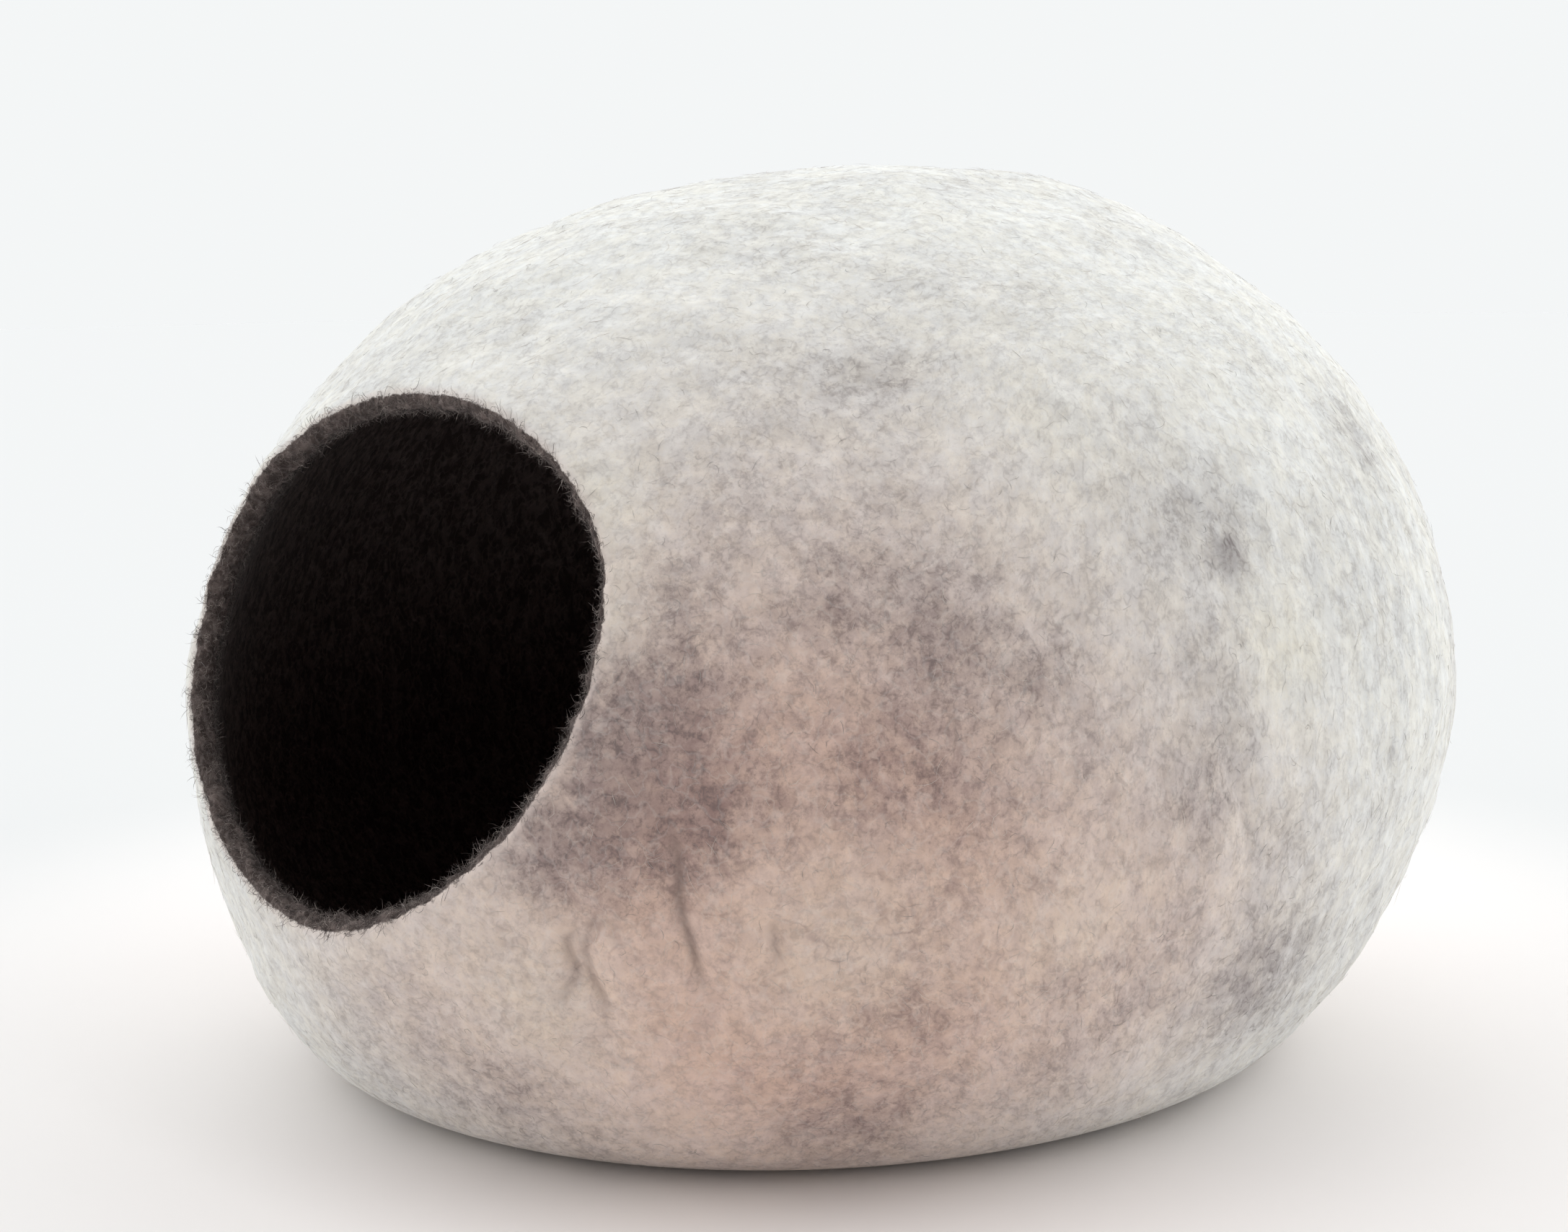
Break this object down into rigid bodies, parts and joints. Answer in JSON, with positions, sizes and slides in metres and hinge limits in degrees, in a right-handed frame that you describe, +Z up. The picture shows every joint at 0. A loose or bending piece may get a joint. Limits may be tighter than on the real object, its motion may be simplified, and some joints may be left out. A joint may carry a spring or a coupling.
{
  "type": "felt cat cave",
  "caption": "Hollow pebble-shaped pet cave of thick marled wool felt, with a round entrance at one end and a flat base.",
  "frame": {"origin": "middle of the bounding box on the surface that the cave stands on", "axes": "+Z up, -Y out of the entrance, +X to the right-hand side for someone who looks along +Y into the entrance"},
  "size_m": [0.4628, 0.4784, 0.326],
  "materials": {
    "marled_wool_felt": "matt, matted wool felt, off-white marled with grey fibres outside and charcoal inside and at the cut edge"
  },
  "bodies": {
    "root": {"felt_shell": "marled_wool_felt"}
  },
  "joints": []
}
